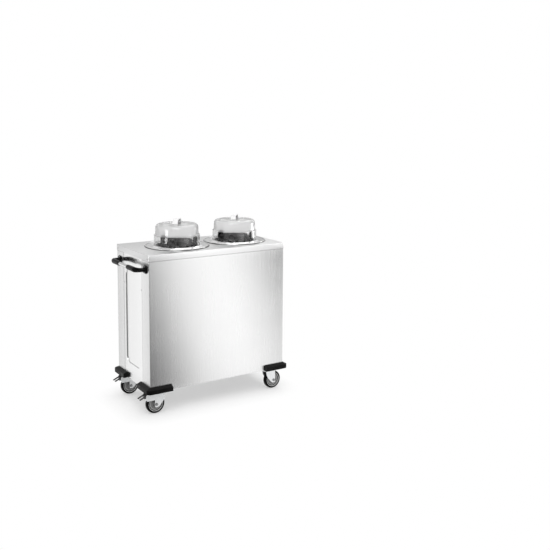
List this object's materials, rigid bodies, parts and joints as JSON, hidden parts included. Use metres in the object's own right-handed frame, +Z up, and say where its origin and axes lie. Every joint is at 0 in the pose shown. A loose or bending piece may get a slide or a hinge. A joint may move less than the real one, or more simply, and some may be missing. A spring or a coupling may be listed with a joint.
{
  "type": "plate dispenser cart",
  "caption": "Stainless steel plate dispenser cart: a closed cabinet on braked swivel castors, with sprung plate wells under clear domes and a push handle at one end.",
  "frame": {"origin": "on the floor, under the middle of the outer box", "axes": "+Z up; -X towards the push-handle end; the long sides face -Y (front) and +Y (rear)"},
  "size_m": [1.1086, 0.578, 1.222],
  "materials": {
    "stainless_brushed": "fine satin brush, upright on the cabinet and lengthways on the lid",
    "stainless_plain": "mill-finish stainless sheet and rod",
    "platform_coating": "black powder-coated steel",
    "stainless_polished": "polished stainless",
    "spring_steel": "drawn spring wire",
    "screw_steel": "bright zinc",
    "moulded_black": "satin moulded polyamide",
    "bumper_rubber": "satin ribbed rubber",
    "clear_dome": "clear polycarbonate, lightly scuffed",
    "dome_grip": "milky moulded polycarbonate",
    "zinc": "bright zinc-plated pressed steel",
    "hub_grey": "moulded grey polypropylene",
    "tyre_black": "solid black rubber"
  },
  "bodies": {
    "cart": {"top_panel": "stainless_brushed", "front_panel": "stainless_brushed", "rear_panel": "stainless_brushed", "left_end_panel": "stainless_brushed", "right_end_panel": "stainless_brushed", "base_pan": "stainless_plain", "cross_rail_left": "stainless_plain", "cross_rail_right": "stainless_plain", "well_cage_1": "stainless_plain", "well_cage_2": "stainless_plain", "well_flange_1": "stainless_polished", "well_flange_2": "stainless_polished", "handle_tube": "stainless_polished", "lift_springs_1": "spring_steel", "lift_springs_2": "spring_steel", "handle_screws": "screw_steel", "panel_screws": "screw_steel", "castor_bolts": "screw_steel", "castor_nuts": "screw_steel", "handle_elbow_front": "moulded_black", "handle_elbow_rear": "moulded_black", "plate_guides_1": "moulded_black", "plate_guides_2": "moulded_black", "bumper_front_left": "bumper_rubber", "bumper_front_right": "bumper_rubber", "bumper_rear_left": "bumper_rubber", "bumper_rear_right": "bumper_rubber", "castor_plate_front_left": "zinc", "castor_plate_front_right": "zinc", "castor_plate_rear_left": "zinc", "castor_plate_rear_right": "zinc"},
    "lift_1": {"lift_platform_1": "platform_coating"},
    "dome_cover_1": {"dome_1": "clear_dome", "dome_grip_1": "dome_grip"},
    "lift_2": {"lift_platform_2": "platform_coating"},
    "dome_cover_2": {"dome_2": "clear_dome", "dome_grip_2": "dome_grip"},
    "castor_front_left": {"castor_fork_front_left": "zinc", "castor_axle_front_left": "zinc"},
    "wheel_front_left": {"castor_hub_front_left": "hub_grey", "castor_tyre_front_left": "tyre_black"},
    "castor_front_right": {"castor_fork_front_right": "zinc", "castor_axle_front_right": "zinc"},
    "wheel_front_right": {"castor_hub_front_right": "hub_grey", "castor_tyre_front_right": "tyre_black"},
    "pedal_front": {"brake_pedal_front": "zinc"},
    "castor_rear_left": {"castor_fork_rear_left": "zinc", "castor_axle_rear_left": "zinc"},
    "wheel_rear_left": {"castor_hub_rear_left": "hub_grey", "castor_tyre_rear_left": "tyre_black"},
    "castor_rear_right": {"castor_fork_rear_right": "zinc", "castor_axle_rear_right": "zinc"},
    "wheel_rear_right": {"castor_hub_rear_right": "hub_grey", "castor_tyre_rear_right": "tyre_black"},
    "pedal_rear": {"brake_pedal_rear": "zinc"}
  },
  "joints": [
    {"name": "lift_1_travel", "type": "slide", "parent": "cart", "child": "lift_1", "axis": [0, 0, -1], "range_m": [0, 0.56], "stiffness_N_per_m": 490, "springref_m": -0.1, "deforming": ["lift_springs_1"]},
    {"name": "dome_1_lift", "type": "slide", "parent": "cart", "child": "dome_cover_1", "axis": [0, 0, 1], "range_m": [0, 0.3]},
    {"name": "lift_2_travel", "type": "slide", "parent": "cart", "child": "lift_2", "axis": [0, 0, -1], "range_m": [0, 0.56], "stiffness_N_per_m": 490, "springref_m": -0.1, "deforming": ["lift_springs_2"]},
    {"name": "dome_2_lift", "type": "slide", "parent": "cart", "child": "dome_cover_2", "axis": [0, 0, 1], "range_m": [0, 0.3]},
    {"name": "castor_front_left_swivel", "type": "hinge", "parent": "cart", "child": "castor_front_left", "pos_m": [-0.38475, -0.208, 0.155], "axis": [0, 0, 1], "continuous": true},
    {"name": "wheel_front_left_spin", "type": "hinge", "parent": "castor_front_left", "child": "wheel_front_left", "pos_m": [-0.42475, -0.208, 0.0625], "axis": [0, 1, 0], "continuous": true},
    {"name": "castor_front_right_swivel", "type": "hinge", "parent": "cart", "child": "castor_front_right", "pos_m": [0.43125, -0.208, 0.155], "axis": [0, 0, 1], "continuous": true},
    {"name": "wheel_front_right_spin", "type": "hinge", "parent": "castor_front_right", "child": "wheel_front_right", "pos_m": [0.47125, -0.208, 0.0625], "axis": [0, 1, 0], "continuous": true},
    {"name": "pedal_front_press", "type": "hinge", "parent": "castor_front_left", "child": "pedal_front", "pos_m": [-0.48175, -0.208, 0.124], "axis": [0, -1, 0], "range_deg": [0, 16]},
    {"name": "castor_rear_left_swivel", "type": "hinge", "parent": "cart", "child": "castor_rear_left", "pos_m": [-0.38475, 0.208, 0.155], "axis": [0, 0, 1], "continuous": true},
    {"name": "wheel_rear_left_spin", "type": "hinge", "parent": "castor_rear_left", "child": "wheel_rear_left", "pos_m": [-0.42475, 0.208, 0.0625], "axis": [0, 1, 0], "continuous": true},
    {"name": "castor_rear_right_swivel", "type": "hinge", "parent": "cart", "child": "castor_rear_right", "pos_m": [0.43125, 0.208, 0.155], "axis": [0, 0, 1], "continuous": true},
    {"name": "wheel_rear_right_spin", "type": "hinge", "parent": "castor_rear_right", "child": "wheel_rear_right", "pos_m": [0.47125, 0.208, 0.0625], "axis": [0, 1, 0], "continuous": true},
    {"name": "pedal_rear_press", "type": "hinge", "parent": "castor_rear_left", "child": "pedal_rear", "pos_m": [-0.48175, 0.208, 0.124], "axis": [0, -1, 0], "range_deg": [0, 16]}
  ]
}
